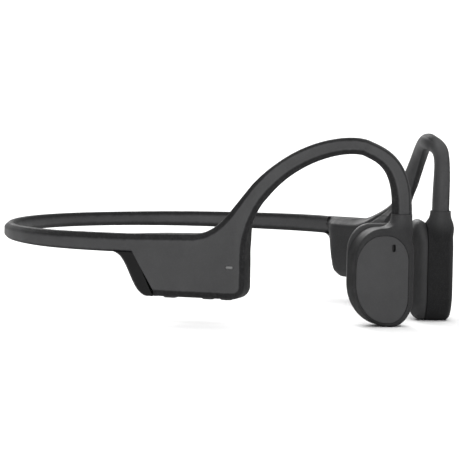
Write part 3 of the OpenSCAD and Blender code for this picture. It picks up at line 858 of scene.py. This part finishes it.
def plate(w, h, bl, br, tr, tl, inset=0.0, lift=0.0, shift=0.0):
    """Outline standing on z = lift with a different ellipse at each corner, drawn inset."""
    def arc(cx, cz, rx, rz, a, b, n):
        rx, rz = max(rx - inset, 0.2), max(rz - inset, 0.2)
        return [(shift + cx + rx * math.cos(math.radians(t)), lift + cz + rz * math.sin(math.radians(t)))
                for t in np.linspace(a, b, n)]
    return (arc(bl[0] - w / 2, bl[1], *bl, 180, 270, 22) + arc(w / 2 - br[0], br[1], *br, 270, 360, 16)
            + arc(w / 2 - tr[0], h - tr[1], *tr, 0, 90, 16) + arc(tl[0] - w / 2, h - tl[1], *tl, 90, 180, 20))


def head_plate(inset, rise=0.0):
    """The head's outline, raised along its top."""
    top_corners = [(x - rise, z - rise) for x, z in TOP_CORNERS]
    return plate(HEAD_W, HEAD_H + rise, *BOTTOM_CORNERS, *top_corners, inset)


def panel_plate(inset):
    return plate(12.9, 20.7, (8.0, 9.8), (4.5, 5.9), (5.4, 6.3), (6.5, 7.6), inset, lift=1.0, shift=-0.6)


HEAD_OUTLINE = head_plate(0)


def outline_distance(outline, x, y):
    """Signed distance to a closed outline, negative inside."""
    best = np.full(x.shape, 1e9)
    inside = np.zeros(x.shape, bool)
    for (ax, ay), (bx, by) in zip(outline, outline[1:] + outline[:1]):
        ex, ey = bx - ax, by - ay
        length = ex * ex + ey * ey
        if length < 1e-12:
            continue
        t = np.clip(((x - ax) * ex + (y - ay) * ey) / length, 0, 1)
        best = np.minimum(best, np.hypot(x - ax - t * ex, y - ay - t * ey))
        if ey:
            crosses = (ay > y) != (by > y)
            inside ^= crosses & (x < ax + ex * (y - ay) / ey)
    return np.where(inside, -best, best)


def shell_field(v, n, z):
    """Distance field of a head shell and its neck, blended by a soft fillet."""
    edge = 0.8 + 0.7 * (1 - smooth(1.5, 8, z))
    a = outline_distance(HEAD_OUTLINE, v, z) + edge
    b = n - HEAD_FRONT + edge
    body = np.minimum(np.maximum(a, b), 0) + np.hypot(np.maximum(a, 0), np.maximum(b, 0)) - edge
    d = STEM_TIP - STEM_FOOT
    from_foot = [v - STEM_FOOT[0], n - STEM_FOOT[1], z - STEM_FOOT[2]]
    t = np.clip(sum(x * along for x, along in zip(from_foot, d)) / (d @ d), 0, 1)
    stem = np.sqrt(sum((x - t * along) ** 2 for x, along in zip(from_foot, d))) - NECK_R
    soft = 0.25 + 3.4 * smooth(18.5, 24.5, z)
    h = np.maximum(soft - np.abs(body - stem), 0) / soft
    return np.minimum(body, stem) - h * h * soft / 4


def surface_net(field, lo, hi, step):
    """Vertices and quads of a field's zero surface, with the vertices drawn onto it."""
    axes = [np.arange(lo[i], hi[i] + step, step) for i in range(3)]
    grid = np.meshgrid(*axes, indexing="ij")
    f = field(*grid)
    neg = f < 0
    n = np.array(f.shape) - 1
    corner = [(i, j, k) for i in (0, 1) for j in (0, 1) for k in (0, 1)]

    def cut(a, o):
        return a[o[0]:o[0] + n[0], o[1]:o[1] + n[1], o[2]:o[2] + n[2]]

    count = sum(cut(neg, o).astype(int) for o in corner)
    active = (count > 0) & (count < 8)
    index = np.full(active.shape, -1)
    index[active] = np.arange(active.sum())
    total, hits = np.zeros((*active.shape, 3)), np.zeros(active.shape)
    for a in corner:
        for axis in range(3):
            if a[axis]:
                continue
            b = list(a)
            b[axis] = 1
            fa, fb = cut(f, a), cut(f, b)
            crossing = (fa < 0) != (fb < 0)
            t = np.where(crossing, fa / np.where(crossing, fa - fb, 1), 0)
            place = np.zeros((*active.shape, 3)) + np.array(a, float)
            place[..., axis] += t
            total += place * crossing[..., None]
            hits += crossing
    cells = np.argwhere(active)
    verts = np.array(lo) + (cells + total[active] / hits[active][:, None]) * step
    faces = []
    for axis in range(3):
        u, w = (axis + 1) % 3, (axis + 2) % 3
        a = [slice(1, -1)] * 3
        b = [slice(1, -1)] * 3
        a[axis], b[axis] = slice(0, -1), slice(1, None)
        na, nb = neg[tuple(a)], neg[tuple(b)]
        for e in np.argwhere(na != nb):
            at = e + 1
            at[axis] = e[axis]
            quad = []
            for du, dw in ((-1, -1), (0, -1), (0, 0), (-1, 0)):
                c = at.copy()
                c[u] += du
                c[w] += dw
                quad.append(int(index[tuple(c)]))
            faces.append(quad if na[tuple(e)] else quad[::-1])
    h = 0.01
    for _ in range(4):
        x, y, z = verts.T
        value = field(x, y, z)
        slope = np.stack([field(x + h, y, z) - field(x - h, y, z),
                          field(x, y + h, z) - field(x, y - h, z),
                          field(x, y, z + h) - field(x, y, z - h)], 1) / (2 * h)
        move = (value / np.maximum((slope ** 2).sum(1), 0.2))[:, None] * slope
        verts = verts - np.clip(move, -0.5 * step, 0.5 * step)
    return verts, faces


def trim_planes(obj, planes):
    """Cuts a closed piece flat at planes given as (point, normal) in metres, keeping what is behind each."""
    bm = bmesh.new()
    bm.from_mesh(obj.data)
    for point, normal in planes:
        bmesh.ops.bisect_plane(bm, geom=bm.verts[:] + bm.edges[:] + bm.faces[:], plane_co=point,
                               plane_no=normal, dist=1e-7, clear_outer=True)
        bmesh.ops.holes_fill(bm, edges=[e for e in bm.edges if e.is_boundary], sides=0)
    bmesh.ops.recalc_face_normals(bm, faces=bm.faces)
    bm.to_mesh(obj.data)
    bm.free()


SHELL_NET = surface_net(shell_field, (-8.2, -2.4, -0.7), (8.2, 6.0, 28.5), 0.35)


def face_cutter(outline, depth, side, material):
    """A cutter that reaches this far into the head's outer face."""
    return prism("cut", outline, HEAD_FRONT - depth, HEAD_FRONT + 2, head_point, side, material)


def mic_hole():
    return [(MIC_AT[0] + b, MIC_AT[1] + a) for a, b in reversed(bar(1.85, 0.9))]


def button_hole():
    return [(MFB_AT[0] + a, MFB_AT[1] + b) for a, b in circle(MFB_R + 0.12, 40)]


def head_shell(side):
    mirror = (1, 1 if side == LEFT else -1, 1)
    verts, faces = SHELL_NET
    # Painted shade on the shell's sides and rims, lifted part way near the outer face and fully towards the
    # top.
    unshaded = np.maximum(0.6 * smooth(3.8, 4.9, verts[:, 1]), smooth(20, 26, verts[:, 2]))
    shell = new_mesh(f"{side}_head_shell_skin", [head_point(*v) for v in verts], faces, CASING, side,
                     sharp=50, attributes={"face": unshaded})
    trim_planes(shell, [
        (tuple(head_point(0, PAD_FRONT + HEAD_GAP, 0) * MM * mirror), tuple(-HEAD_OUTWARD * mirror)),
        (tuple(vec(0, 0, NECK_Z - HEAD_GAP) * MM), (0, 0, 1))])
    cutters = [face_cutter(panel_plate(-0.03), 0.6, side, CASING), face_cutter(mic_hole(), 1.3, side, CASING)]
    if side == LEFT:
        cutters.append(face_cutter(button_hole(), 2, side, CASING))
    carve(shell, cutters, sharp=50)
    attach(shell, f"{side}_arm")
    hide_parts(f"{side}_head_shell")


def head_panel(side):
    front = HEAD_FRONT + 0.01
    layers = [(panel_plate(inset), front - depth)
              for inset, depth in ((0, 0.56), (0, 0.1), (0.03, 0.03), (0.1, 0))]
    panel = stacked(f"{side}_head_panel_skin", layers, head_point, PANEL, side, face=[0, 0, 0.5, 1])
    cutters = [face_cutter(mic_hole(), 2.2, side, PANEL)]
    if side == LEFT:
        cutters.append(face_cutter(button_hole(), 2, side, PANEL))
    carve(panel, cutters, sharp=10)
    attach(panel, f"{side}_arm")
    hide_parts(f"{side}_head_panel")


def contact_pad(side):
    """The head's inner half: a crowned cushion whose outlines are (inset, rise, depth, face), where face
    keeps the crown next to the joint light and leaves painted shade on the joint's edge and the deeper
    layers.
    """
    top = PAD_FRONT - HEAD_GAP
    steps = [(0.06, 0, top, 0), (0.0, 0.05, top - 0.12, 0.6), (0.0, 0.4, top - 0.5, 1),
             (0.06, 0.8, top - 1.1, 1), (0.35, 1.1, top - 1.9, 1), (0.8, 1.2, top - 2.45, 0.9),
             (1.3, 1.2, top - 2.85, 0.6), (2.0, 1.1, top - 3.2, 0.2), (2.9, 1.0, top - 3.5, 0),
             (4.0, 0.9, top - 3.66, 0), (5.2, 0.8, HEAD_BACK + 0.03, 0)]
    layers = [(head_plate(inset, rise), depth) for inset, rise, depth, _ in steps]
    pad = stacked(f"{side}_contact_pad_skin", layers, head_point, PAD, side,
                  face=[face for *_, face in steps])
    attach(pad, f"{side}_arm")
    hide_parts(f"{side}_contact_pad")


def multifunction_cap():
    def place(a, d, b):
        return head_point(MFB_AT[0] + a, HEAD_FRONT + d, MFB_AT[1] + b)

    layers = [(circle(r, 40), depth)
              for r, depth in ((MFB_R, -1.5), (MFB_R, 0.12), (MFB_R - 0.08, 0.26), (MFB_R - 0.25, 0.34),
                               (MFB_R - 0.5, 0.35), (1.2, 0.26), (0.6, 0.22), (0.1, 0.21))]
    button = stacked("multifunction_button_cap", layers, place, BUTTON, LEFT,
                     face=[0, 0, 0.3, 0.8, 1, 1, 1, 1])
    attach(button, "multifunction")
    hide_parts("multifunction_button")


for s in SIDES:
    head_shell(s)
    head_panel(s)
    contact_pad(s)
multifunction_cap()


# ---- Stage, light and camera ----
CAMERA_AZIMUTH, CAMERA_TILT, CAMERA_ROLL = math.radians(34.4), math.radians(4.194), math.radians(1.133)
CAMERA_DISTANCE, CAMERA_LENS, SENSOR = 0.9, 283.9, 36.0
AIM = Vector((0, 0, 0.0193))
FLOOR_R = 40.0
SKY_FRONT, SKY_SIDE = 1.02, 0.22    # brightness along the camera's line of sight and to its sides


def floor():
    me = bpy.data.meshes.new("floor")
    ring = [(x, y, 0) for x, y in circle(FLOOR_R, 96)]
    me.from_pydata(ring, [], [list(range(len(ring)))])
    obj = bpy.data.objects.new("floor", me)
    bpy.context.scene.collection.objects.link(obj)
    m = finish("floor_paint", (0.92, 0.92, 0.92), 0.9, vary=0.01, grain=60, mottle=2, spec=0.0, depth=0.0)
    me.materials.append(m)


def world():
    """A white studio, darker to the left and right of the camera's line of sight."""
    w = bpy.data.worlds.new("studio")
    w.use_nodes = True
    bpy.context.scene.world = w
    tree = w.node_tree
    direction = tree.nodes.new("ShaderNodeTexCoord")
    sideways = tree.nodes.new("ShaderNodeVectorMath")
    sideways.operation = "DOT_PRODUCT"
    sideways.inputs[1].default_value = (math.cos(CAMERA_AZIMUTH), math.sin(CAMERA_AZIMUTH), 0)
    either = tree.nodes.new("ShaderNodeMath")
    either.operation = "ABSOLUTE"
    level = tree.nodes.new("ShaderNodeMapRange")
    level.interpolation_type = "SMOOTHSTEP"
    level.inputs["From Min"].default_value, level.inputs["From Max"].default_value = 0.25, 0.85
    level.inputs["To Min"].default_value, level.inputs["To Max"].default_value = SKY_FRONT, SKY_SIDE
    back = tree.nodes["Background"]
    back.inputs["Color"].default_value = (1, 1, 1, 1)
    tree.links.new(direction.outputs["Generated"], sideways.inputs[0])
    tree.links.new(sideways.outputs["Value"], either.inputs[0])
    tree.links.new(either.outputs["Value"], level.inputs["Value"])
    tree.links.new(level.outputs["Result"], back.inputs["Strength"])


def sun(name, azimuth, elevation, strength, spread):
    """A soft sun from that side; azimuth 0 is behind a camera that looks along +Y."""
    light = bpy.data.lights.new(name, "SUN")
    light.energy, light.angle = strength, math.radians(spread)
    obj = bpy.data.objects.new(name, light)
    a, e = math.radians(azimuth), math.radians(elevation)
    back = Vector((math.sin(a) * math.cos(e), -math.cos(a) * math.cos(e), math.sin(e)))
    obj.rotation_mode = "QUATERNION"
    obj.rotation_quaternion = back.to_track_quat("Z", "Y")
    bpy.context.scene.collection.objects.link(obj)


def camera():
    c, s = math.cos(CAMERA_AZIMUTH), math.sin(CAMERA_AZIMUTH)
    ct, st = math.cos(CAMERA_TILT), math.sin(CAMERA_TILT)
    across, ahead = Vector((c, s, 0)), Vector((-s * ct, c * ct, -st))
    up = across.cross(ahead)
    cr, sr = math.cos(CAMERA_ROLL), math.sin(CAMERA_ROLL)
    x, y = across * cr + up * sr, up * cr - across * sr
    data = bpy.data.cameras.new("camera")
    data.lens, data.sensor_width = CAMERA_LENS, SENSOR
    data.clip_start, data.clip_end = 0.01, 100
    obj = bpy.data.objects.new("camera", data)
    m = Matrix((x, y, -ahead)).transposed().to_4x4()
    m.translation = AIM - CAMERA_DISTANCE * ahead
    obj.matrix_world = m
    bpy.context.scene.collection.objects.link(obj)
    bpy.context.scene.camera = obj


floor()
world()
sun("key", 34.4, 16, 1.3, 40)
sun("top", 34.4, 84, 1.3, 100)
sun("rim", -128, 32, 2.0, 24)
camera()
bpy.context.scene.view_settings.view_transform = "Standard"
